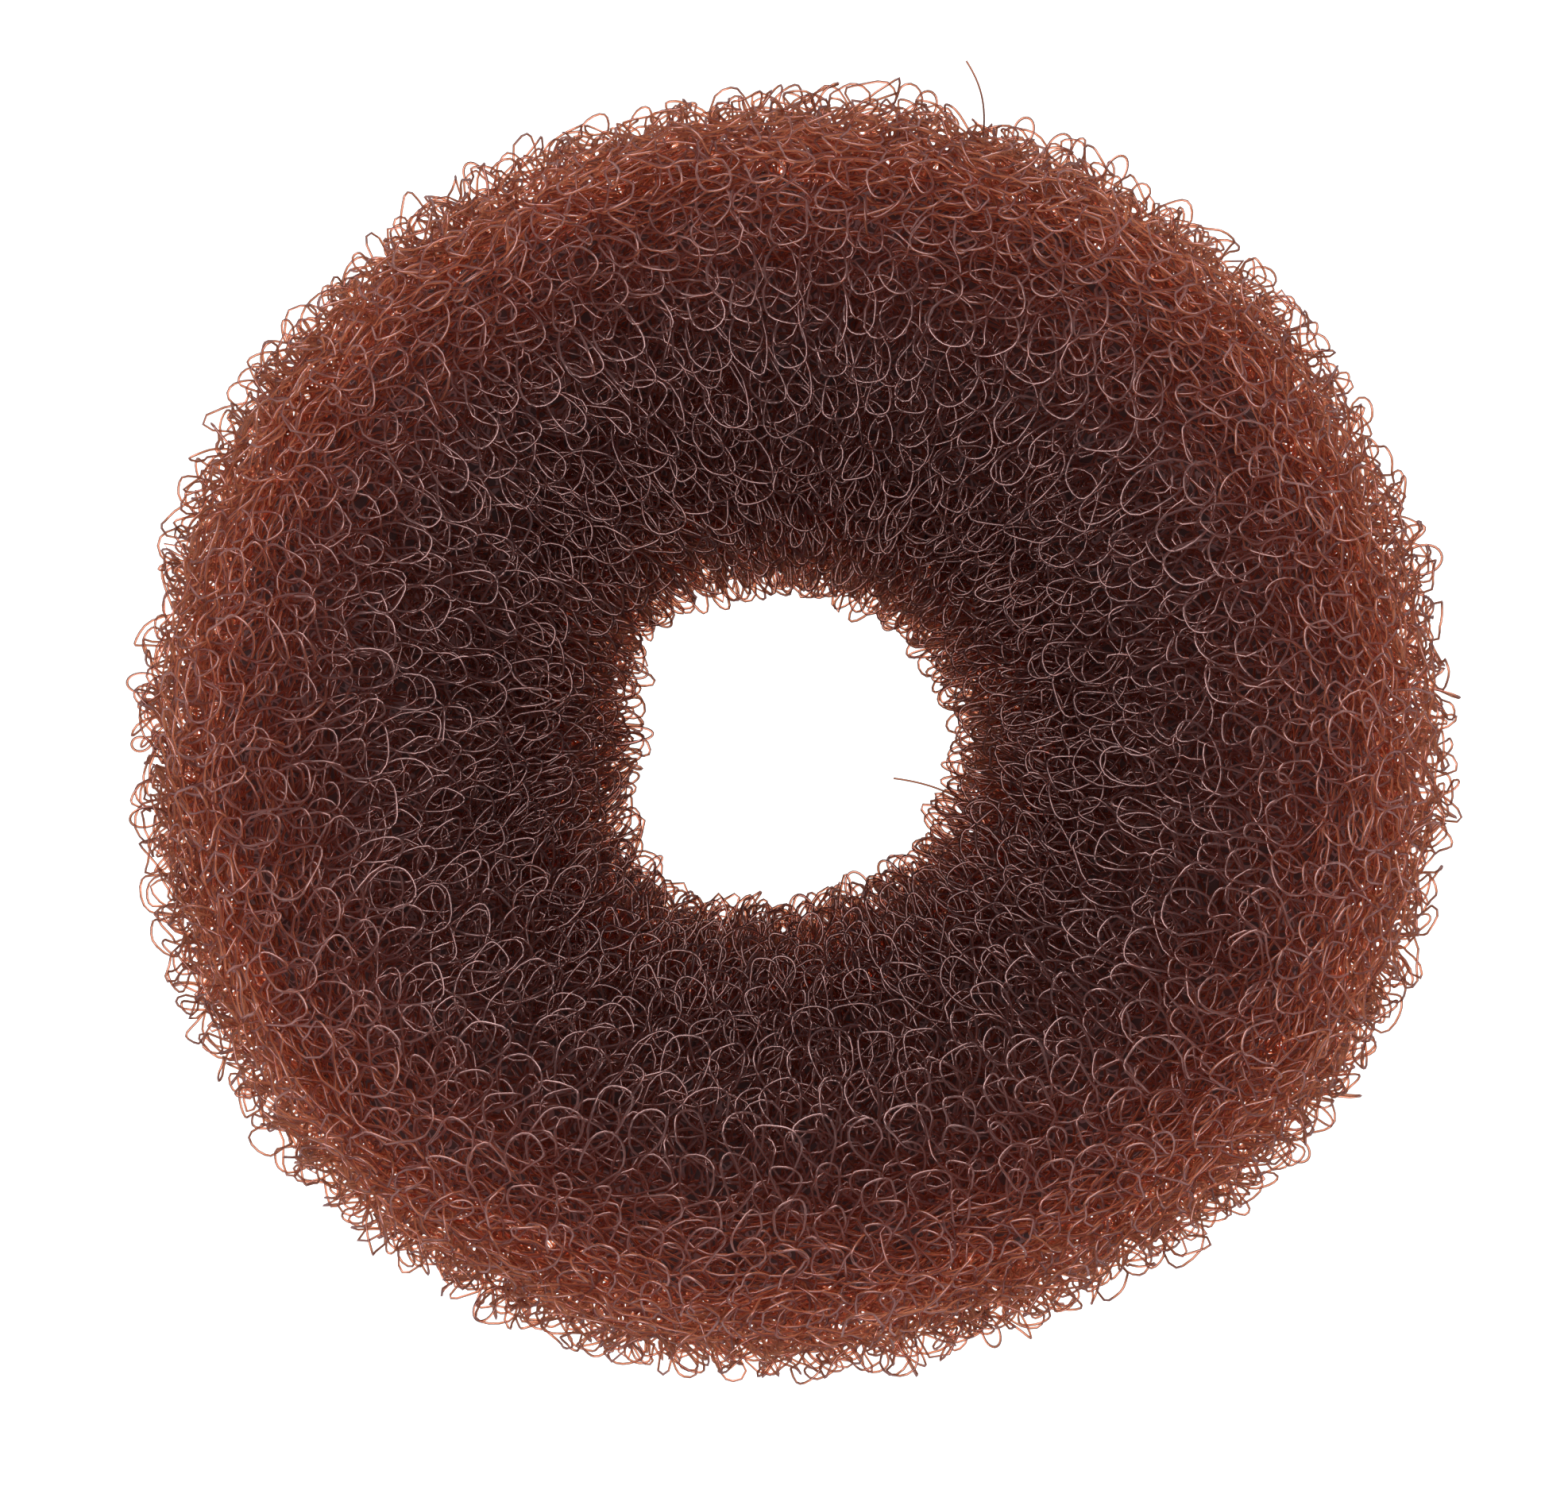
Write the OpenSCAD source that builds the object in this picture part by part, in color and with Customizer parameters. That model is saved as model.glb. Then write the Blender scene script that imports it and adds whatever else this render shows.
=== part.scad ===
// Hair donut: a springy knitted tube of nylon filament, rolled up on itself into a ring.
// The ring lies flat, +Z up, with its origin under the middle of its outline, on the surface it rests on.
// Lengths are in millimetres.

/* [Ring] */
// Width of the ring over its loops
ring_d = 90; // [82:1:110]
// Width of the hole that the hair goes through
hole_d = 21.5; // [16:0.5:28]
// Height of the ring as it lies
ring_h = 32; // [28:0.5:38]
// How far the underside is pressed flat where it rests
foot_press = 0.8; // [0.4:0.1:1.6]

/* [Outer turn] */
// Thickness of the outermost turn of the knit, with its loops
turn_t = 5; // [4:0.25:6]
// Number of ribs in the knit, counted round the ring
rib_count = 60; // [50:1:64]
// Height of a rib at the rim, less towards the hole
rib_h = 0.9; // [0.3:0.1:1.5]

/* [Inner roll] */
// How many times the knit goes round inside the outer turn
roll_turns = 3; // [2:0.25:3.5]
// Width of the hollow that is left along the middle of the roll
hollow_d = 3; // [2:0.25:5]
// Space between one turn and the next
turn_gap = 0.3; // [0.3:0.05:0.5]
// Thickness of the edge that the inner roll starts with, pressed thin under the outer turn
edge_t = 0.8; // [0.5:0.1:1.5]

/* [Hidden] */

// Outline seen from above, one row every 30 degrees, counter-clockwise from +X.
// rim is a share of half the ring's width, and hole a share of half the hole's width.
outline_shares = [
    // rim, hole
    [1.010, 1.00], //   0
    [1.010, 0.91], //  30
    [1.000, 0.85], //  60
    [0.986, 0.83], //  90
    [0.986, 0.97], // 120
    [0.996, 1.03], // 150
    [1.001, 0.92], // 180
    [1.015, 1.15], // 210
    [1.005, 1.18], // 240
    [0.986, 1.05], // 270
    [0.982, 1.04], // 300
    [1.020, 1.05], // 330
];
rim_shares = [for (row = outline_shares) row.x];
hole_shares = [for (row = outline_shares) row.y];

// Columns of points across a rib: a valley, and the two edges of a crest
rib_columns = 3;
rim_columns = rib_columns * rib_count;
rim_angles = [for (i = [0:rim_columns - 1]) i * 360 / rim_columns];

// Angle between the points of a section of the outer surface
rim_turn_step = 18;
// Sections round the ring, and points in a turn, of the surfaces inside
roll_columns = 36;
roll_points = 10;
roll_angles = [for (i = [0:roll_columns - 1]) i * 360 / roll_columns];

// A smooth closed curve through a list of shares, spread evenly round the ring, at an angle
function wrapped(shares, i) = shares[(i + len(shares)) % len(shares)];
function share(shares, angle) =
    let (at = angle / 360 * len(shares), i = floor(at), t = at - i,
         a = wrapped(shares, i - 1), b = wrapped(shares, i),
         c = wrapped(shares, i + 1), d = wrapped(shares, i + 2))
    b + t / 2 * (c - a + t * (2 * a - 5 * b + 4 * c - d + t * (3 * (b - c) + d - a)));

// Distance of the rim and of the hole's edge from the axis, at an angle round the ring
function rim_r(angle) = ring_d / 2 * share(rim_shares, angle);
function hole_r(angle) = hole_d / 2 * share(hole_shares, angle);

// Middle and half width of the rolled tube, at an angle round the ring
function tube_mid(angle) = (rim_r(angle) + hole_r(angle)) / 2;
function tube_half(angle) = (rim_r(angle) - hole_r(angle)) / 2;

// The narrowest half of the tube, which the turns inside have to fit
slim_half = min(ring_h / 2, min([for (angle = roll_angles) tube_half(angle)]));
// How far in the roll starts, and how far in each turn lies from the one round it
roll_inset = turn_t + turn_gap;
pitch = (slim_half - hollow_d / 2 - turn_t) / roll_turns;
// The step at which the pressed edge is thick enough to start the roll
first_step = ceil((edge_t + turn_gap) / pitch * roll_points);
last_step = round(roll_turns * roll_points);

// Angle, up from the lowest point of the section, at which the pressed foot ends
foot_turn = acos(1 - foot_press / (ring_h / 2));

// How deep the surface lies below the crests of the ribs, at a column of the rim
function rib_depth(i) = i % rib_columns == 0 ? rib_h : 0;

// The middle of the outline, over the crests of the ribs, which stands over the origin
crests = [for (i = [0:rim_columns - 1]) if (rib_depth(i) == 0)
    rim_r(rim_angles[i]) * [cos(rim_angles[i]), sin(rim_angles[i])]];
crest_xs = [for (p = crests) p.x];
crest_ys = [for (p = crests) p.y];
middle = [max(crest_xs) + min(crest_xs), max(crest_ys) + min(crest_ys)] / 2;

// A point of the tube, set in from its surface: turn counts up from the lowest point of the section
function tube_point(angle, turn, inset) =
    let (r = tube_mid(angle) + (tube_half(angle) - inset) * sin(turn))
    [r * cos(angle) - middle.x, r * sin(angle) - middle.y,
     ring_h / 2 - (ring_h / 2 - inset) * cos(turn)];

// A section of the ribbed outer surface, from one edge of its flat foot round to the other
function rim_section(i) =
    let (angle = rim_angles[i])
    [for (turn = [rim_turn_step:rim_turn_step:360 - rim_turn_step])
        let (at_foot = turn == rim_turn_step ? foot_turn : 360 - foot_turn,
             on_foot = turn == rim_turn_step || turn == 360 - rim_turn_step,
             way = on_foot ? at_foot : turn,
             reach = tube_mid(angle) + tube_half(angle) * sin(way),
             p = tube_point(angle, way, rib_depth(i) * reach / rim_r(angle)))
        on_foot ? [p.x, p.y, 0] : p];

// A section of the hollow inside the outer turn
function hollow_section(angle) =
    [for (k = [0:roll_points - 1]) tube_point(angle, k * 360 / roll_points, turn_t)];

// A section of the roll: out along its outer face and back along its inner one.
// The first turn keeps to the outer turn, and each later one to the turn round it.
function outer_inset(k) = roll_inset + pitch * max(0, k / roll_points - 1);
function inner_inset(k) = roll_inset + pitch * k / roll_points - turn_gap;
function roll_section(angle) = [
    for (k = [first_step:last_step]) tube_point(angle, k * 360 / roll_points, outer_inset(k)),
    for (k = [last_step:-1:first_step]) tube_point(angle, k * 360 / roll_points, inner_inset(k))
];

// A closed ring of triangles through its sections, each a list of as many points
module ring_mesh(sections) {
    columns = len(sections);
    rows = len(sections[0]);
    function index(i, j) = (i % columns) * rows + j % rows;
    polyhedron(
        points = [for (section = sections) each section],
        faces = [for (i = [0:columns - 1], j = [0:rows - 1])
            each [[index(i, j), index(i, j + 1), index(i + 1, j + 1)],
                  [index(i, j), index(i + 1, j + 1), index(i + 1, j)]]],
        convexity = 8
    );
}

// The outermost turn, whose ribs and loops show: a ribbed tube, hollow for the roll inside it
module outer_turn() {
    color("sienna") difference() {
        ring_mesh([for (i = [0:rim_columns - 1]) rim_section(i)]);
        ring_mesh([for (angle = roll_angles) hollow_section(angle)]);
    }
}

// The turns inside, rolled up round a small hollow: the dark middle that shows between the loops
module inner_roll() {
    color("maroon") ring_mesh([for (angle = roll_angles) roll_section(angle)]);
}

outer_turn();
inner_roll();
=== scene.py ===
"""Looks of a hair donut: a rolled-up tube of looped brown nylon filament, seen from above on a white table.

Every length here is in metres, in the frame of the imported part. The filament is knitted in rows that run
round the ring. Each row is one closed strand that makes a loop at every rib, and the rows lie in layers from
the ring's surface inwards, over the dark roll of knit inside.
"""

from collections import namedtuple

import bpy
import numpy as np
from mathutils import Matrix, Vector


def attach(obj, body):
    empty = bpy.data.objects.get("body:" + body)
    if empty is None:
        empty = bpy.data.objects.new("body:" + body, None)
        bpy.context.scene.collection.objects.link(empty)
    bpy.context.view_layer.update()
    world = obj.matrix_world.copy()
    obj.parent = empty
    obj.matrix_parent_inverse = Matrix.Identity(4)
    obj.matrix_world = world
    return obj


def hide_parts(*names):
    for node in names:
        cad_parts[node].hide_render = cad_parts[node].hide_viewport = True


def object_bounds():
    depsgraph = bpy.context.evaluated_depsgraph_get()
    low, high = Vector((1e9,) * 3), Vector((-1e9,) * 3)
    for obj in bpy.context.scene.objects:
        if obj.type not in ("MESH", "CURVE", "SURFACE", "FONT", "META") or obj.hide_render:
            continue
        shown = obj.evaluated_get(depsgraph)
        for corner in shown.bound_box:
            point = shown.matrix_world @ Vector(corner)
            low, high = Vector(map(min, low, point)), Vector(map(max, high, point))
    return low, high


bl_info = {
    "name": "Hair donut",
    "version": (1, 0, 0),
    "blender": (4, 5, 0),
    "location": "3D View > Sidebar > Hair donut",
    "description": "Dresses a packed hair donut in its looped knit of nylon filament",
    "category": "Mesh",
}

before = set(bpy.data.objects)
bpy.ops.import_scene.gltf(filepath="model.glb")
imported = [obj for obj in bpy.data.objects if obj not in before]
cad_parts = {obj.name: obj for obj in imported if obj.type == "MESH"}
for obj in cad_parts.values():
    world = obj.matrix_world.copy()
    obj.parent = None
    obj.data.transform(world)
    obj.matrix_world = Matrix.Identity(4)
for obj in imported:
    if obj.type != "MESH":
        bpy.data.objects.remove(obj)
CAD_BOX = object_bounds()

PHOTO_SIZE = (1974, 1876)
# Outline of the ring in the photo: left, top, right and bottom pixel
OUTLINE = (158, 103, 1840, 1734)
PIXEL = (CAD_BOX[1].x - CAD_BOX[0].x) / (OUTLINE[2] - OUTLINE[0])
MM = 0.001
TURN = 2 * np.pi


# Form of the ring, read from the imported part


class Ring:
    """The ring's smooth outer form, as a function of the angle round it and the angle round its tube.

    The rim's and the hole's distance from the axis are fitted as a short sum of waves round the ring, to
    the points of outer_turn at half its height. round_tube is 0 at the rim, a quarter turn on top, a half
    turn at the hole and three quarters underneath. inset is how deep a point lies below the surface.
    """

    WAVES = 7

    def __init__(self, node):
        mesh = node.data
        points = np.empty(len(mesh.vertices) * 3)
        mesh.vertices.foreach_get("co", points)
        points = points.reshape(-1, 3)
        self.half_height = points[:, 2].max() / 2
        waist = points[abs(points[:, 2] - self.half_height) < 0.02 * MM]
        reach = np.hypot(waist[:, 0], waist[:, 1])
        angle = np.arctan2(waist[:, 1], waist[:, 0])
        at_rim = reach > (reach.min() + reach.max()) / 2
        self.rim = self.fitted(angle[at_rim], reach[at_rim])
        self.hole = self.fitted(angle[~at_rim], reach[~at_rim])

    def waves(self, angle):
        """The waves at each angle: 1, then the cosine and sine of 1 to 6 times the angle."""
        angle = np.asarray(angle, float)
        turns = [np.ones_like(angle)]
        for count in range(1, self.WAVES):
            turns += [np.cos(count * angle), np.sin(count * angle)]
        return np.stack(turns, -1)

    def fitted(self, angle, reach):
        """How much of each wave gives these distances at these angles, by least squares."""
        return np.linalg.lstsq(self.waves(angle), reach, rcond=None)[0]

    def half_width(self, angle):
        """Half the distance from the hole to the rim."""
        return self.waves(angle) @ (self.rim - self.hole) / 2

    def reach(self, angle, round_tube, inset):
        """Distance from the axis: the tube's middle, plus the rest of its half width along the cosine."""
        middle = self.waves(angle) @ (self.rim + self.hole) / 2
        return middle + (self.half_width(angle) - inset) * np.cos(round_tube)

    def point(self, angle, round_tube, inset):
        """A point of the form, as x, y and z."""
        reach = self.reach(angle, round_tube, inset)
        height = self.half_height + (self.half_height - inset) * np.sin(round_tube)
        return np.stack([reach * np.cos(angle), reach * np.sin(angle), height], -1)

    @staticmethod
    def directions(angle, round_tube):
        """Unit vectors round the ring, round the tube and out of the surface."""
        along = np.stack([-np.sin(angle), np.cos(angle), np.zeros_like(angle)], -1)
        outward = np.stack([np.cos(round_tube) * np.cos(angle), np.cos(round_tube) * np.sin(angle),
                            np.sin(round_tube) * np.ones_like(angle)], -1)
        return along, np.cross(outward, along), outward


RING = Ring(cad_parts["outer_turn"])


# Sizes and colours that a user would change


def length(name, description, default):
    """A property for a length in metres."""
    return bpy.props.FloatProperty(name=name, description=description, default=default, min=0.0,
                                   precision=5, subtype="DISTANCE", unit="LENGTH")


def colour(name, description, default):
    """A property for a colour: the shares of red, green and blue light, not gamma encoded."""
    return bpy.props.FloatVectorProperty(name=name, description=description, default=default, min=0.0,
                                         max=1.0, size=3, subtype="COLOR")


class HairDonutSizes(bpy.types.PropertyGroup):
    """Sizes of the filament, its loops and its layers."""

    ribs: bpy.props.IntProperty(name="Ribs", description="Loops in a row on top of the ring", default=60,
                                min=8)
    filament: length("Filament", "Thickness of the nylon filament", 0.18 * MM)
    first_inset: length("First layer", "Depth of the middle of the first layer", 1.35 * MM)
    layer_step: length("Layer step", "Depth from one layer to the next", 1.05 * MM)
    loop_width: length("Loop width", "Half width of a loop where the ribs are far apart", 2.9 * MM)
    loop_height: length("Loop height", "Half height of a loop, round the tube", 2.1 * MM)
    loop_lift: length("Loop lift", "How far a loop's head stands out of its layer", 1.15 * MM)
    scallop: length("Scallop", "How far the loops at the rim stand out and in together", 0.3 * MM)
    roll_inset: length("Roll inset", "Depth of the outside of the roll inside", 6.8 * MM)


class HairDonutColours(bpy.types.PropertyGroup):
    """Colours of the filament, the roll and the table."""

    filament: colour("Filament", "Nylon filament, lit from the front", (0.088, 0.050, 0.062))
    glow: colour("Glow", "What the filament lets through", (0.98, 0.345, 0.175))
    # deep is painted shade: the filament's matt colour where the knit lies deep, greyer, for how the shade
    # there looks
    deep: colour("Deep filament", "Nylon filament deep in the knit, lit from the front", (0.16, 0.16, 0.19))
    gloss: colour("Gloss", "Tint of the filament's highlights", (0.98, 0.63, 0.61))
    roll: colour("Roll", "Pressed knit of the roll inside", (0.19, 0.16, 0.18))
    table: colour("Table", "Milky glass of the light table", (0.15, 0.15, 0.15))


# Materials


class Socket:
    """A node's output in a shader, on which the usual signs of arithmetic add Math nodes."""

    def __init__(self, tree, output):
        self.tree, self.output = tree, output

    def maths(self, operation, *values):
        return self.tree.add("ShaderNodeMath", {"operation": operation}, *values)

    def __add__(self, other):
        return self.maths("ADD", self, other)

    def __radd__(self, other):
        return self.maths("ADD", other, self)

    def __sub__(self, other):
        return self.maths("SUBTRACT", self, other)

    def __rsub__(self, other):
        return self.maths("SUBTRACT", other, self)

    def __mul__(self, other):
        return self.maths("MULTIPLY", self, other)

    def __rmul__(self, other):
        return self.maths("MULTIPLY", other, self)

    def __pow__(self, other):
        return self.maths("POWER", self, other)


class Finish:
    """A material's node tree, and the one method that adds nodes to it."""

    def __init__(self, name):
        self.material = bpy.data.materials.new(name)
        self.material.use_nodes = True
        self.nodes = self.material.node_tree.nodes
        self.links = self.material.node_tree.links
        self.nodes.clear()

    def add(self, kind, settings=None, *values, output=0, **named):
        """Adds a node, sets it, then fills its sockets in order or by name, and gives one output."""
        node = self.nodes.new(kind)
        for setting, value in (settings or {}).items():
            setattr(node, setting, value)
        for key, value in [*enumerate(values), *named.items()]:
            socket = node.inputs[key.replace("_", " ") if isinstance(key, str) else key]
            if isinstance(value, Socket):
                self.links.new(value.output, socket)
            else:
                socket.default_value = value
        return Socket(self, node.outputs[output]) if node.outputs else self.material

    def mixed(self, share, first, second):
        """A colour that goes from the first to the second as share goes from 0 to 1."""
        node = self.nodes.new("ShaderNodeMix")
        node.data_type = "RGBA"
        for name, value in (("Factor_Float", share), ("A_Color", first), ("B_Color", second)):
            socket = next(s for s in node.inputs if s.identifier == name)
            if isinstance(value, Socket):
                self.links.new(value.output, socket)
            else:
                socket.default_value = (*value, 1.0) if len(value) == 3 else value
        return Socket(self, next(s for s in node.outputs if s.identifier == "Result_Color"))

    def surface(self, shader):
        return self.add("ShaderNodeOutputMaterial", None, Surface=shader)


def filament_finish(colours):
    """Glossy, see-through brown nylon: dark outlines and pale highlights, orange where light comes through.

    Three attributes of the knit vary it. tone differs at random from strand to strand and is painted shade
    besides: it is lower at the rim and lowest at the hole, where it darkens the body and dulls the gloss.
    depth goes from 0 at the ring's surface to 1 deep in the knit, and turns the body's colour to the deep
    colour, a painted tone for the shade in the depths. lit is a painted glow, set by where a row lies, that
    makes a strand scatter more of the table's light and shine more. A strand's near wall is a mix of a matt
    body, of light that passes through and of gloss, and its far wall is clear. The knit's pieces share the
    material, so it is made only once.
    """
    if "nylon_filament" in bpy.data.materials:
        return bpy.data.materials["nylon_filament"]
    finish = Finish("nylon_filament")
    finish.material.use_transparent_shadow = False
    tone_and_shade, depth, lit = (finish.add("ShaderNodeAttribute", {"attribute_name": name}, output="Fac")
                        for name in ("tone_and_shade", "depth", "lit"))

    # The body is matt brown, lighter or darker from strand to strand and painted darker at the rim and hole,
    # turns with depth to a painted tone for the shade deep in the knit, and scatters light that comes through
    darker, lighter = ([share * c for c in colours.filament] for share in (0.75, 1.5))
    brown = finish.mixed(depth, finish.mixed(tone_and_shade, darker, lighter), list(colours.deep))
    matt = finish.add("ShaderNodeBsdfPrincipled", None, Base_Color=brown, Roughness=1.0,
                      Specular_IOR_Level=0.0)
    scattered = finish.add("ShaderNodeBsdfTranslucent", None, Color=(*colours.glow, 1.0))
    # lit adds a painted glow: strands mostly on the slope to the rim scatter more of the table's light
    glowing = 0.06 + 0.14 * tone_and_shade + 0.42 * depth + lit
    body = finish.add("ShaderNodeMixShader", None, glowing, matt, scattered)

    # A strand is clearest where its wall faces the eye, and nearly opaque at its outlines
    straight_share = 0.85
    straight = finish.add("ShaderNodeBsdfTransparent", None, Color=(*colours.glow, 1.0))
    passing = finish.add("ShaderNodeMixShader", None, straight_share, scattered, straight)
    facing = finish.add("ShaderNodeLayerWeight", None, Blend=0.5, output="Facing")
    clear = finish.add("ShaderNodeMath", {"operation": "MAXIMUM"}, 1.05 - 2.7 * facing, 0.03)
    clear = clear * (1 - (0.35 + 0.1 * tone_and_shade) * (1 - depth))
    nylon = finish.add("ShaderNodeMixShader", None, clear, body, passing)

    # Painted shade on the gloss: it fades with depth, where less of the lamp's light reaches, and is dulled
    # at the rim and hole by tone, which is random besides; lit raises it as a painted highlight, mostly on
    # the slope to the rim
    gloss = finish.add("ShaderNodeBsdfGlossy", None, Color=(*colours.gloss, 1.0), Roughness=0.2)
    gloss_share_with_painted_shade = (0.035 + 0.18 * (1 - depth) ** 1.3) * (0.42 + 0.6 * tone_and_shade + 0.15 * lit)
    near = finish.add("ShaderNodeMixShader", None, gloss_share_with_painted_shade, nylon, gloss)
    far = finish.add("ShaderNodeBsdfTransparent", None, Color=(1.0, 1.0, 1.0, 1.0))
    is_far = finish.add("ShaderNodeNewGeometry", None, output="Backfacing")
    return finish.surface(finish.add("ShaderNodeMixShader", None, is_far, near, far))


def roll_finish(colours):
    """Knit pressed together: dull and dark, with paler arcs of strands, as thin rings round random points.

    A ring is where the distance to the nearest point, at that scale of the points, is close to a half.
    """
    finish = Finish("rolled_knit")
    place = finish.add("ShaderNodeTexCoord", None, output="Object")
    strands = 0.0
    for scale in (420.0, 560.0, 700.0):
        spot = finish.add("ShaderNodeTexVoronoi", {"feature": "F1"}, Vector=place, Scale=scale,
                          Randomness=1.0, output="Distance")
        ring = finish.add("ShaderNodeMath", {"operation": "COMPARE"}, spot, 0.5, 0.035)
        strands = finish.add("ShaderNodeMath", {"operation": "MAXIMUM"}, strands, ring)
    base = finish.mixed(strands, colours.roll, [3.0 * c for c in colours.roll])
    bump = finish.add("ShaderNodeBump", None, Strength=0.6, Distance=0.15 * MM, Height=strands,
                      output="Normal")
    return finish.surface(finish.add("ShaderNodeBsdfPrincipled", None, Base_Color=base, Roughness=0.9,
                                     Specular_IOR_Level=0.05, Normal=bump))


def table_finish(colours):
    """Matt glass that is lit from below, so that it looks white and its light comes up through the ring."""
    finish = Finish("pale_table")
    finish.material.cycles.emission_sampling = "NONE"
    return finish.surface(finish.add("ShaderNodeBsdfPrincipled", None, Base_Color=(*colours.table, 1.0),
                                     Roughness=0.9, Emission_Color=(1.0, 1.0, 1.0, 1.0),
                                     Emission_Strength=1.45))


# Meshes

# A strand's sides, and how far its corners lie from its line as a share of the filament's thickness
SIDES = 3
CORNER_SHARE = 0.60
# Share of the loop width that loops have room for on top of the ring, where they are as high as the sizes say
ROOM_ON_TOP = 0.64
# How many times the loops at the rim stand out and in together on the way round the ring
SCALLOPS = 82
# A layer of the knit: its rows, which share of a rib it is set off by, how far its loops stand up as a share
# of the loop lift, how disorderly they are, and the points to a loop in each quarter of the tube
Layer = namedtuple("Layer", "rows first_rib stand disorder steps")


def new_piece(name, points, faces, material, attributes=None):
    """A mesh object of quads from an array of points and an array of corners, smooth shaded."""
    mesh = bpy.data.meshes.new(name)
    mesh.vertices.add(len(points))
    mesh.vertices.foreach_set("co", np.ascontiguousarray(points, np.float32).ravel())
    mesh.loops.add(faces.size)
    mesh.loops.foreach_set("vertex_index", faces.ravel().astype(np.int32))
    mesh.polygons.add(len(faces))
    mesh.polygons.foreach_set("loop_start", np.arange(0, faces.size, faces.shape[1], dtype=np.int32))
    mesh.polygons.foreach_set("use_smooth", np.ones(len(faces), bool))
    for key, values in (attributes or {}).items():
        mesh.attributes.new(key, "FLOAT", "POINT").data.foreach_set("value", values.astype(np.float32))
    mesh.update()
    mesh.validate()
    mesh.materials.append(material)
    piece = bpy.data.objects.new(name, mesh)
    bpy.context.scene.collection.objects.link(piece)
    return piece


def grid_faces(columns, rows, closed_columns=True):
    """Corners of the quads of a grid of points, of columns by rows, wrapped round where it is closed."""
    i, j = np.meshgrid(np.arange(columns - (not closed_columns)), np.arange(rows), indexing="ij")
    right, up = (i + 1) % columns, (j + 1) % rows
    corners = [i * rows + j, right * rows + j, right * rows + up, i * rows + up]
    return np.stack(corners, -1).reshape(-1, 4)


def joined(tubes):
    """The points and corners of several tubes as one mesh, each tube's corners counted on from the last's."""
    starts = np.cumsum([0] + [len(points) for points, corners in tubes])
    corners = [corners + start for (points, corners), start in zip(tubes, starts)]
    return np.concatenate([points for points, corners in tubes]), np.concatenate(corners)


def looped_knit(context, name, tubes, tones_and_shades, depths, lights):
    """A piece of the knit from its tubes, with tone, random and partly painted shade, and lit, a painted
    glow, set for each tube, and depth for each point.
    """
    counts = [len(points) for points, corners in tubes]
    piece = new_piece(name, *joined(tubes), filament_finish(context.scene.hair_donut_colours),
                      {"tone_and_shade": np.repeat(tones_and_shades, counts), "depth": np.concatenate(depths),
                       "lit": np.repeat(lights, counts)})
    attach(piece, "root")
    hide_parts("outer_turn")


def ripple(points, seed, wavelength, height):
    """A smooth random push for each point: the sum of a few sine waves that run in random directions."""
    draw = np.random.default_rng(seed)
    push = np.zeros_like(points)
    waves = 7
    for _ in range(waves):
        way = draw.normal(size=3)
        way *= TURN / (np.linalg.norm(way) * wavelength * draw.uniform(0.7, 1.5))
        push += draw.normal(size=3) * np.sin(points @ way + draw.uniform(0, TURN))[..., None]
    return push * height / np.sqrt(waves / 2)


def eased(knots, steps):
    """Values between knots that follow each other round a closed row, eased in and out at every knot.

    Of the way s between two knots, the value has gone 3 times the square of s less twice its cube.
    """
    share = np.arange(steps) / steps
    share = share * share * (3 - 2 * share)
    return (knots[:, None] * (1 - share) + np.roll(knots, -1)[:, None] * share).ravel()


def row_angles(count, stagger, inwards):
    """Angles round the tube of the rows of a layer: closest at the rim and hole, and farthest apart below.

    How close they lie is 1, plus 0.22 times the cosine of twice the angle, plus 0.15 times the angle's sine,
    less inwards times its cosine, which moves rows from the rim to the hole. stagger sets the rows off by a
    share of the way to the next.
    """
    fine = np.arange(720) * TURN / 720
    crowd = np.cumsum(1 + 0.22 * np.cos(2 * fine) + 0.15 * np.sin(fine) - inwards * np.cos(fine))
    return np.interp((np.arange(count) + stagger) * crowd[-1] / count, crowd, fine)


def nearness(row_angle):
    """How near a row is to the rim and the hole: the cosine of its angle, and minus that, both at least 0."""
    return max(np.cos(row_angle), 0), max(-np.cos(row_angle), 0)


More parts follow.
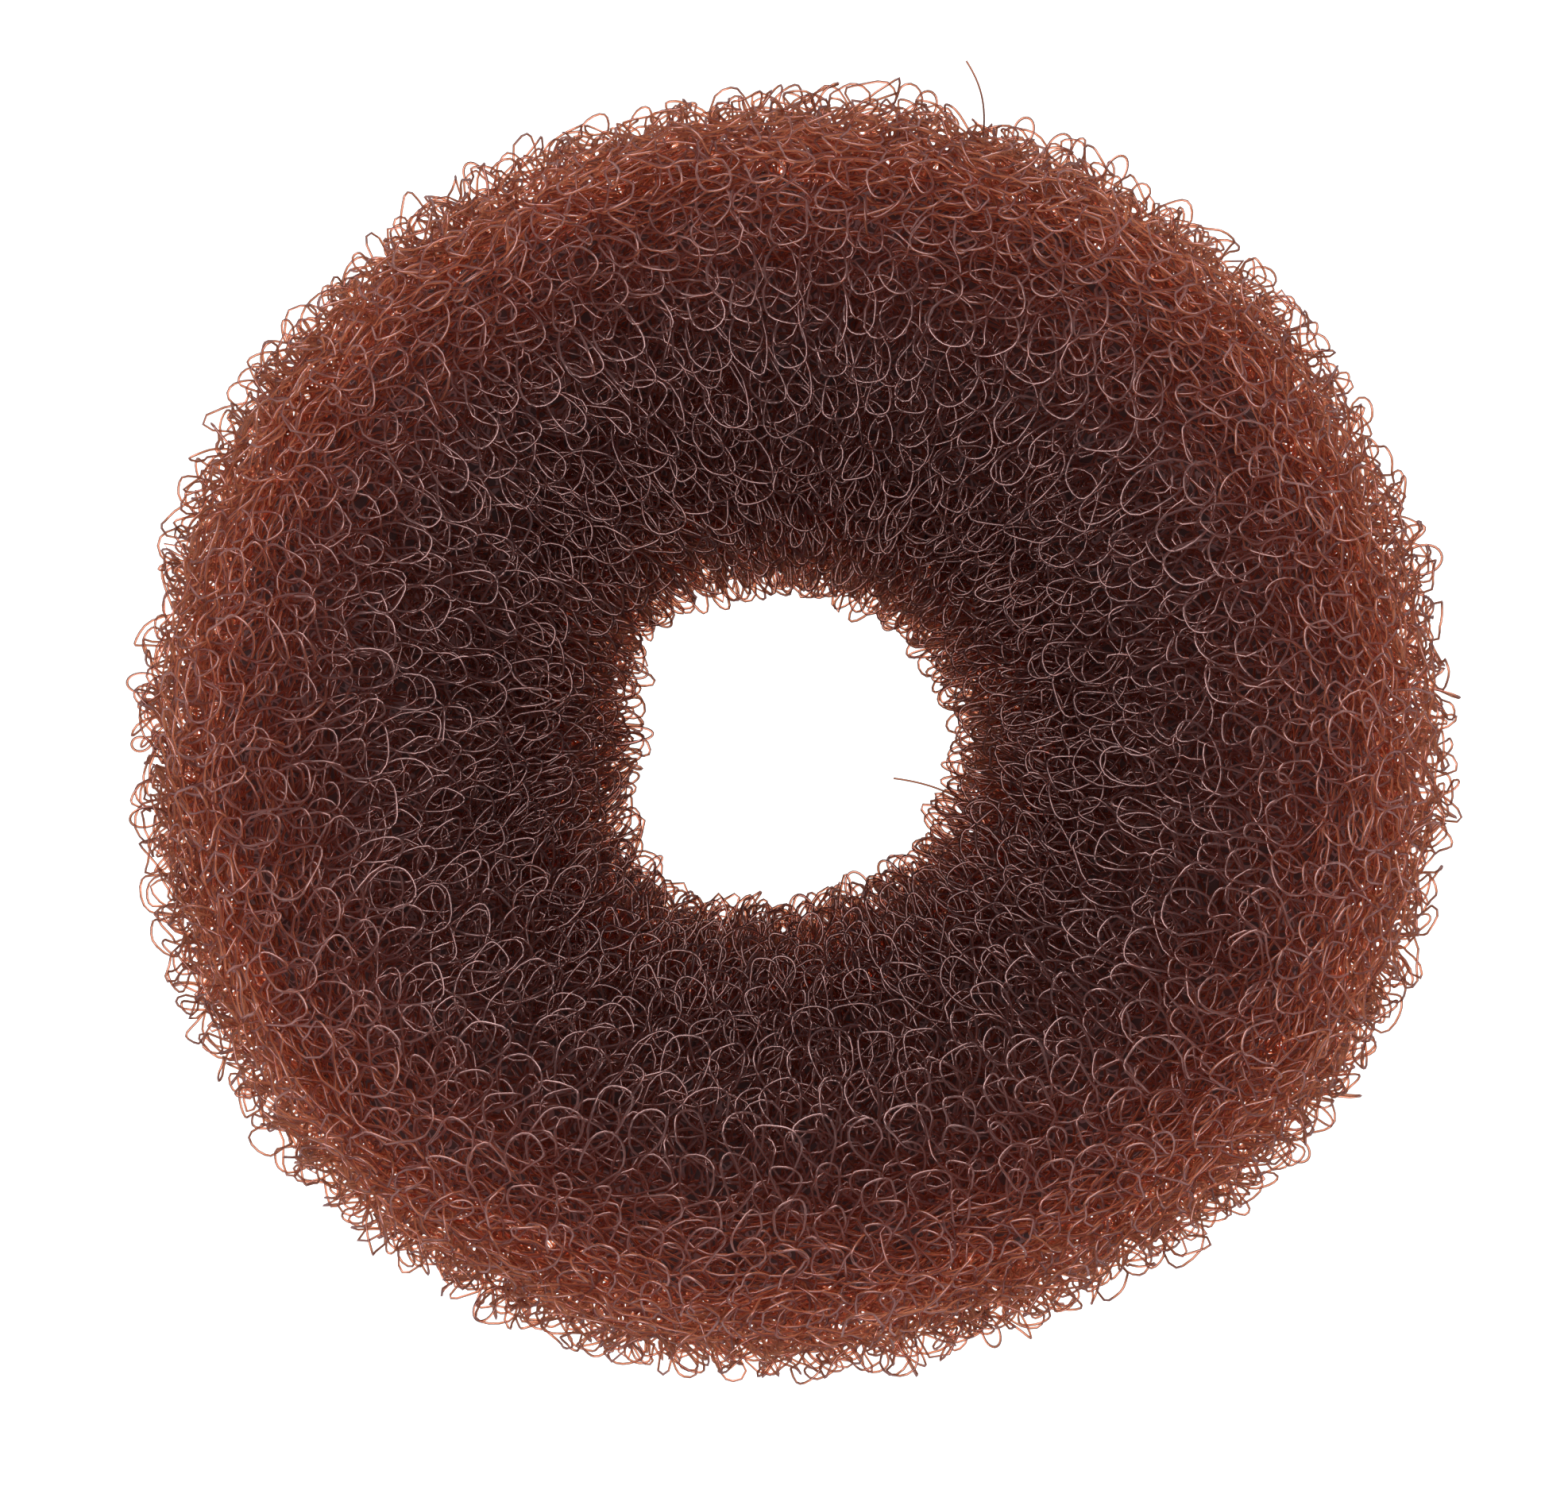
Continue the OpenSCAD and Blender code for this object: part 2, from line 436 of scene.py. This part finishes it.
def looped_row(sizes, layer, row_angle, inset, steps, draw):
    """Centre line of one closed row of loops, a direction out of each loop's plane, and the line's depth.

    The row runs round the ring like a coil pressed flat: from one rib to the next it goes back on itself
    over the loop's head. In steps q of a whole turn to a rib, it is a circle of the loop's width along the
    ring and of its height round the tube, with the head lifted out of the layer and the foot sunk into it,
    and all of it is moved, turned and resized by random amounts that change smoothly from loop to loop.
    The longer a row is, the more loops it has. At the rim and the hole they are smaller and less orderly,
    and at the rim a row lies 0.3 mm deeper and its scallops move it out and in as a cosine.
    """
    at_rim, at_hole = nearness(row_angle)
    share_of_crest = RING.reach(0.0, row_angle, inset) / RING.reach(0.0, TURN / 4, inset)
    ribs = round(sizes.ribs * (0.74 + 0.26 * share_of_crest ** 2.5))
    inset = inset + 0.3 * MM * at_rim ** 4
    way = np.arange(ribs * steps) / steps
    q = TURN * (way % 1.0)
    angle = (way + 0.5 + layer.first_rib) * TURN / ribs
    reach = RING.reach(angle, row_angle, inset)

    # Random amounts, drawn in this order: four shares, a lean in radians and four lengths
    disorder = layer.disorder * (1 + 0.55 * at_rim + 0.35 * at_hole)
    spreads = {"size": 0.15 + 0.05 * at_rim, "width": 0.10, "height": 0.10, "lift": 0.21 * layer.disorder,
               "lean": 0.32 * disorder, "twist": 0.4 * sizes.loop_lift * disorder,
               "along": 0.36 * MM * disorder, "across": 0.42 * MM * disorder, "depth": 0.26 * MM * disorder}
    random = {name: eased(draw.normal(size=ribs).clip(-1.9, 1.9) * spread, steps)
              for name, spread in spreads.items()}

    # Half width, half height and lift of the loops, which have less room where the ribs are close
    room = 1 - np.exp(-TURN * reach / ribs / sizes.loop_width)
    size = (1 - 0.18 * at_rim - 0.12 * at_hole) * np.exp(random["size"])
    width = sizes.loop_width * room * size * np.exp(random["width"])
    height = sizes.loop_height * room / ROOM_ON_TOP * size * (1 - 0.45 * at_hole) * np.exp(random["height"])
    stand = layer.stand * (1 - at_rim * abs(np.sin(row_angle)))
    stand = stand * (1 + 0.3 * at_rim ** 4 + 0.35 * at_hole ** 4)
    lift = stand * sizes.loop_lift * size * (1 + random["lift"])

    # The line: where it is along the ring, round the tube and below the surface
    lean, twist = random["lean"], random["twist"]
    side, head = -width * np.sin(q), height * (np.cos(q) - 0.15 * np.cos(2 * q))
    along = side * np.cos(lean) - head * np.sin(lean) + random["along"]
    across = side * np.sin(lean) + head * np.cos(lean) + random["across"]
    rise = np.cos(q) - 0.25 * (1 - np.cos(row_angle) ** 4) * np.cos(2 * q)
    depth = inset - lift * rise - twist * np.sin(q) + random["depth"]
    depth = depth - at_rim ** 2 * sizes.scallop * np.cos(SCALLOPS * angle + 2 * np.sin(7 * angle))
    angle = angle + along / reach
    round_tube = row_angle + across / (RING.half_height - inset)

    # A loop's plane holds the way from its foot to its head and the way from side to side
    e_along, e_across, e_out = RING.directions(angle, round_tube)
    headwards = (-np.sin(lean) * height)[:, None] * e_along + (np.cos(lean) * height)[:, None] * e_across
    headwards = headwards + lift[:, None] * e_out
    sideways = (-np.cos(lean) * width)[:, None] * e_along - (np.sin(lean) * width)[:, None] * e_across
    sideways = sideways + twist[:, None] * e_out
    return RING.point(angle, round_tube, depth), np.cross(sideways, headwards), depth


def rest_on_table(points, clearance):
    """Presses what is lower than a clearance over the table into a thin layer that keeps its order.

    A low point's new height is the clearance, less by a factor e for each 1.2 mm that it was below it, but at
    least 0.12 of the clearance.
    """
    low = points[..., 2] < clearance
    squeeze = clearance * np.exp((points[..., 2] - clearance) / (1.2 * MM))
    points[..., 2] = np.where(low, np.maximum(squeeze, 0.12 * clearance), points[..., 2])
    return points


def strand(line, out_of_plane, radius, closed=True):
    """A tube round a line: at each point of the line, an equal-sided triangle square to the line.

    Its corners lie a radius from the line. The first is in the direction out_of_plane, less what of that runs
    along the line.
    """
    tangent = np.roll(line, -1, axis=0) - np.roll(line, 1, axis=0) if closed else np.gradient(line, axis=0)
    tangent /= np.linalg.norm(tangent, axis=-1, keepdims=True)
    across = out_of_plane - (out_of_plane * tangent).sum(-1, keepdims=True) * tangent
    across /= np.linalg.norm(across, axis=-1, keepdims=True)
    other = np.cross(tangent, across)
    turn = np.arange(SIDES)[:, None] * TURN / SIDES
    rings = line[:, None] + radius * (np.cos(turn) * across[:, None] + np.sin(turn) * other[:, None])
    return rings.reshape(-1, 3), grid_faces(len(line), SIDES, closed)[:, ::-1]


# Operators, one for each piece or group of like pieces


class MakeRoll(bpy.types.Operator):
    """Makes the dark roll of knit that shows between the loops"""

    bl_idname = "hair_donut.make_roll"
    bl_label = "Roll inside"

    def execute(self, context):
        # The ring's form at the roll's depth, on a grid of angles, with a ripple
        columns, rows = 120, 60
        angle, round_tube = np.meshgrid(np.arange(columns) * TURN / columns, np.arange(rows) * TURN / rows,
                                        indexing="ij")
        points = RING.point(angle, round_tube, context.scene.hair_donut_sizes.roll_inset)
        points = points + ripple(points, seed=5, wavelength=6 * MM, height=0.9 * MM)
        piece = new_piece("rolled_knit", points.reshape(-1, 3), grid_faces(columns, rows),
                          roll_finish(context.scene.hair_donut_colours))
        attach(piece, "root")
        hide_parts("inner_roll")
        return {"FINISHED"}


class MakeLoops(bpy.types.Operator):
    """Makes the looped knit, in layers from the surface inwards and each in four quarters of the tube"""

    bl_idname = "hair_donut.make_loops"
    bl_label = "Looped knit"

    LAYERS = {"surface": Layer(40, 0.0, 0.9, 0.75, (20, 20, 16, 14)),
              "second": Layer(48, 0.5, 1.1, 1.1, (15, 14, 12, 9)),
              "third": Layer(50, 0.25, 1.3, 1.3, (10, 10, 8, 8)),
              "fourth": Layer(46, 0.75, 1.4, 1.5, (8, 8, 7, 7)),
              "deep": Layer(40, 0.4, 1.4, 1.6, (7, 7, 7, 7))}
    QUARTERS = ("rim", "top", "hole", "under")
    # Depth that the attribute depth counts as 1
    DEEPEST = 5.5 * MM

    def execute(self, context):
        sizes = context.scene.hair_donut_sizes
        for number, (name, layer) in enumerate(self.LAYERS.items()):
            inset = sizes.first_inset + number * sizes.layer_step
            draw = np.random.default_rng(number)
            rows = row_angles(layer.rows, stagger=0.37 * number, inwards=0.07 * number - 0.05)
            quarters = np.floor(rows / (TURN / 4) + 0.5).astype(int) % 4
            for turn, quarter in enumerate(self.QUARTERS):
                tubes, tones_and_shades, depths, lights = [], [], [], []
                for row_angle in rows[quarters == turn]:
                    at_rim, at_hole = nearness(row_angle)
                    line, out, depth = looped_row(sizes, layer, row_angle, inset, layer.steps[turn], draw)
                    line = rest_on_table(self.rippled(line, number, at_rim, at_hole), clearance=0.5 * MM)
                    tubes.append(strand(line, out, (CORNER_SHARE - 0.05 * at_rim) * sizes.filament))
                    # A row's tone is random, times a painted shade that is lower at the rim and lowest at the
                    # hole; lit is a painted glow
                    tones_and_shades.append((1 - 0.5 * at_rim ** 4 - 0.8 * at_hole) * draw.uniform(0.3, 1))
                    depths.append(np.repeat((depth / self.DEEPEST).clip(0, 1), SIDES))
                    lights.append(self.light(number, at_rim, at_hole))
                looped_knit(context, f"{name}_loops_{quarter}", tubes, tones_and_shades, depths, lights)
        return {"FINISHED"}

    @staticmethod
    def rippled(line, number, at_rim, at_hole):
        """The row bent by long ripples, higher in deeper layers, and by short ones, higher at its edges."""
        line = line + ripple(line, seed=7 + number, wavelength=8 * MM, height=(0.25 + 0.05 * number) * MM)
        return line + ripple(line, seed=17 + number, wavelength=3.2 * MM,
                             height=(0.08 + 0.06 * at_rim + 0.04 * at_hole) * MM)

    @staticmethod
    def light(number, at_rim, at_hole):
        """A painted glow: how much more of the table's light a row scatters, and how much brighter its gloss,
        by where it lies: most on the slope between the crest and the rim.

        It is at_rim times 1 less its square, by a share that falls from layer to layer, and a little more
        in the hole.
        """
        return (1.1 - 0.27 * number) * at_rim * (1 - at_rim ** 2) + 0.09 * at_hole


class MakeStrays(bpy.types.Operator):
    """Makes the loops that have slipped out of their rows, and the two cut ends of filament"""

    bl_idname = "hair_donut.make_strays"
    bl_label = "Slipped loops and cut ends"

    # Each loop: degrees round the ring and round the tube, half width and stand in mm, lean in degrees
    LOOPS = ((181.5, 8, 0.75, 0.75, 10), (176, 2, 1.2, 1.5, 25), (188, 12, 1.1, 1.4, -30),
             (15, 6, 1.6, 1.8, 15), (69, 5, 1.1, 1.3, 20), (65.5, -4, 1.3, 1.7, -15),
             (60, 8, 1.2, 1.6, 30), (78, 4, 1.2, 1.3, -20), (120, 6, 1.1, 1.4, 20),
             (-40, 3, 1.2, 1.4, 15), (-72, 6, 1.0, 1.3, -25), (-118, 4, 1.2, 1.4, 30),
             (182, 178, 0.9, 2.3, 25), (184, 170, 0.7, 1.9, -20), (224, 182, 0.7, 2.1, 30),
             (214, 176, 0.6, 1.7, 10), (-53, 178, 1.0, 1.5, 20), (-57, 172, 1.0, 1.7, -15),
             (-68, 181, 1.3, 2.0, 10), (114, 183, 0.9, 1.6, -10), (-88, 177, 1.1, 1.2, 15),
             (140, 176, 1.0, 1.8, -25), (-13, 180, 0.6, 1.9, 20), (-31, 178, 0.6, 1.8, -20),
             (48, 178, 0.8, 1.2, 15), (160, 174, 0.9, 1.5, 10), (196, 183, 0.8, 1.6, -15),
             (20, 176, 0.8, 1.1, 25))
    # Each end: four points that lead a smooth curve, as pixels of the photo and height in mm
    ENDS = (((1232, 205, 15), (1246, 150, 21), (1236, 125, 23), (1214, 94, 24)),
            ((1225, 1018, 17), (1195, 1000, 19), (1165, 990, 20), (1123, 986, 21)))

    @staticmethod
    def loop(around, round_tube, width, stand, lean):
        """One loop of the knit pulled out: over the head it is an ellipse, and its feet run straight in.

        In steps q, from more than half a turn before the head to as much after it, the line goes along the
        ring by its half width times a quarter of q less the sine of q, and outwards by its stand times the
        cosine of q, less the same share of the stand all along. Past half a turn the feet also run inwards.
        """
        around, round_tube, lean = np.radians((around, round_tube, lean))
        q = np.linspace(-1.35 * np.pi, 1.35 * np.pi, 40)
        feet = (abs(q) - np.pi).clip(0)
        side = width * (0.25 * q - np.sin(q)) * MM
        out = stand * (np.cos(q) - 0.3 - 1.6 * feet) * MM
        along, across, outward = RING.directions(around, round_tube)
        way = np.cos(lean) * along + np.sin(lean) * across
        line = RING.point(around, round_tube, 0.7 * MM) + side[:, None] * way + out[:, None] * outward
        return line + (0.3 * MM * np.sin(q))[:, None] * across, np.cross(way, outward)

    @staticmethod
    def end(*leads):
        """A curve from the first lead to the last, drawn to the two between them.

        The leads' weights are the four terms of the cube of the sum of rest and share, which is always 1.
        """
        left, top, right, bottom = OUTLINE
        leads = np.array(leads, float)
        places = np.stack([(leads[:, 0] - (left + right) / 2) * PIXEL,
                           ((top + bottom) / 2 - leads[:, 1]) * PIXEL, leads[:, 2] * MM], -1)
        share = np.linspace(0, 1, 24)[:, None]
        rest = 1 - share
        weights = np.hstack([rest ** 3, 3 * share * rest ** 2, 3 * share ** 2 * rest, share ** 3])
        return weights @ places, np.array([0.0, 0.0, 1.0])

    def execute(self, context):
        radius = CORNER_SHARE * context.scene.hair_donut_sizes.filament
        lines = [(*self.loop(*loop), radius) for loop in self.LOOPS]
        lines += [(*self.end(*end), 0.7 * radius) for end in self.ENDS]
        tubes = [strand(line, np.broadcast_to(out, line.shape), radius, closed=False)
                 for line, out, radius in lines]
        depths = [np.zeros(len(points)) for points, corners in tubes]
        looped_knit(context, "stray_loops", tubes, tones_and_shades=[0.2] * len(tubes), depths=depths,
                    lights=[0.0] * len(tubes))
        return {"FINISHED"}


class MakeStage(bpy.types.Operator):
    """Makes the pale table, the soft lights and the camera above"""

    bl_idname = "hair_donut.make_stage"
    bl_label = "Table, lights and camera"

    TABLE_REACH = 3.0
    LAMP_PLACE = (-0.06, 0.10, 0.62)
    LAMP_WIDTH = 0.9
    LAMP_POWER = 11.0
    CAMERA_AWAY = 0.45
    CAMERA_UP = np.radians(86.0)

    def execute(self, context):
        self.make_table(context)
        self.make_lamp(context)
        self.make_camera(context)
        context.scene.world = self.studio_world()
        context.scene.view_settings.view_transform = "Standard"
        # Light may turn five times, and go straight through six strands of two walls each
        cycles = context.scene.cycles
        cycles.max_bounces = 5
        cycles.diffuse_bounces = 2
        cycles.glossy_bounces = 1
        cycles.transmission_bounces = 4
        cycles.transparent_max_bounces = 12
        return {"FINISHED"}

    def make_table(self, context):
        """A wide flat square that the ring rests on."""
        x, y = np.array([[-1, 1, 1, -1], [-1, -1, 1, 1]]) * self.TABLE_REACH
        table = new_piece("table", np.stack([x, y, np.zeros(4)], -1), np.array([[0, 1, 2, 3]]),
                          table_finish(context.scene.hair_donut_colours))

    def make_lamp(self, context):
        """A wide lamp overhead that is seen only in the filament's gloss."""
        light = bpy.data.lights.new("key_light", "AREA")
        light.size = self.LAMP_WIDTH
        light.energy = self.LAMP_POWER
        lamp = bpy.data.objects.new("key_light", light)
        lamp.visible_diffuse = lamp.visible_transmission = False
        lamp.location = self.LAMP_PLACE
        way = Vector((0, 0, RING.half_height)) - Vector(self.LAMP_PLACE)
        lamp.rotation_euler = way.to_track_quat("-Z", "Y").to_euler()
        context.scene.collection.objects.link(lamp)

    def studio_world(self):
        """A white room that is bright all round at the height of the table and dim overhead."""
        world = bpy.data.worlds.new("studio")
        world.use_nodes = True
        world.cycles.sampling_method = "NONE"
        nodes, links = world.node_tree.nodes, world.node_tree.links
        way = nodes.new("ShaderNodeTexCoord")
        split = nodes.new("ShaderNodeSeparateXYZ")
        shade = nodes.new("ShaderNodeMapRange")
        links.new(way.outputs["Generated"], split.inputs["Vector"])
        links.new(split.outputs["Z"], shade.inputs["Value"])
        for name, value in (("From Min", 0.0), ("From Max", 0.5), ("To Min", 0.5), ("To Max", 0.20)):
            shade.inputs[name].default_value = value
        links.new(shade.outputs["Result"], nodes["Background"].inputs["Strength"])
        nodes["Background"].inputs["Color"].default_value = (1.0, 1.0, 1.0, 1.0)
        return world

    def make_camera(self, context):
        """A camera nearly overhead, whose frame has the ring where the photo has it."""
        left, top, right, bottom = OUTLINE
        camera = bpy.data.cameras.new("camera")
        camera.sensor_width = 36.0
        camera.lens = camera.sensor_width * self.CAMERA_AWAY / (PIXEL * PHOTO_SIZE[0])
        view = bpy.data.objects.new("camera", camera)
        aim = Vector(((PHOTO_SIZE[0] - left - right) / 2 * PIXEL, (top + bottom - PHOTO_SIZE[1]) / 2 * PIXEL,
                      RING.half_height))
        away = Vector((0, -np.cos(self.CAMERA_UP), np.sin(self.CAMERA_UP)))
        view.location = aim + away * self.CAMERA_AWAY
        view.rotation_euler = (-away).to_track_quat("-Z", "Y").to_euler()
        context.scene.collection.objects.link(view)
        context.scene.camera = view


class HairDonutPanel(bpy.types.Panel):
    """Lists the sizes, the colours and the operators"""

    bl_idname = "VIEW3D_PT_hair_donut"
    bl_label = "Hair donut"
    bl_space_type = "VIEW_3D"
    bl_region_type = "UI"
    bl_category = "Hair donut"

    def draw(self, context):
        for group in (context.scene.hair_donut_sizes, context.scene.hair_donut_colours):
            box = self.layout.box()
            for name in group.__annotations__:
                box.prop(group, name)
        for operator in OPERATORS:
            self.layout.operator(operator.bl_idname)


OPERATORS = (MakeRoll, MakeLoops, MakeStrays, MakeStage)
CLASSES = (HairDonutSizes, HairDonutColours, *OPERATORS, HairDonutPanel)


def register():
    for each in CLASSES:
        bpy.utils.register_class(each)
    bpy.types.Scene.hair_donut_sizes = bpy.props.PointerProperty(type=HairDonutSizes)
    bpy.types.Scene.hair_donut_colours = bpy.props.PointerProperty(type=HairDonutColours)


def unregister():
    del bpy.types.Scene.hair_donut_colours
    del bpy.types.Scene.hair_donut_sizes
    for each in reversed(CLASSES):
        bpy.utils.unregister_class(each)


def main():
    register()
    bpy.ops.hair_donut.make_roll()
    bpy.ops.hair_donut.make_loops()
    bpy.ops.hair_donut.make_strays()
    bpy.ops.hair_donut.make_stage()


if __name__ == "__main__":
    main()
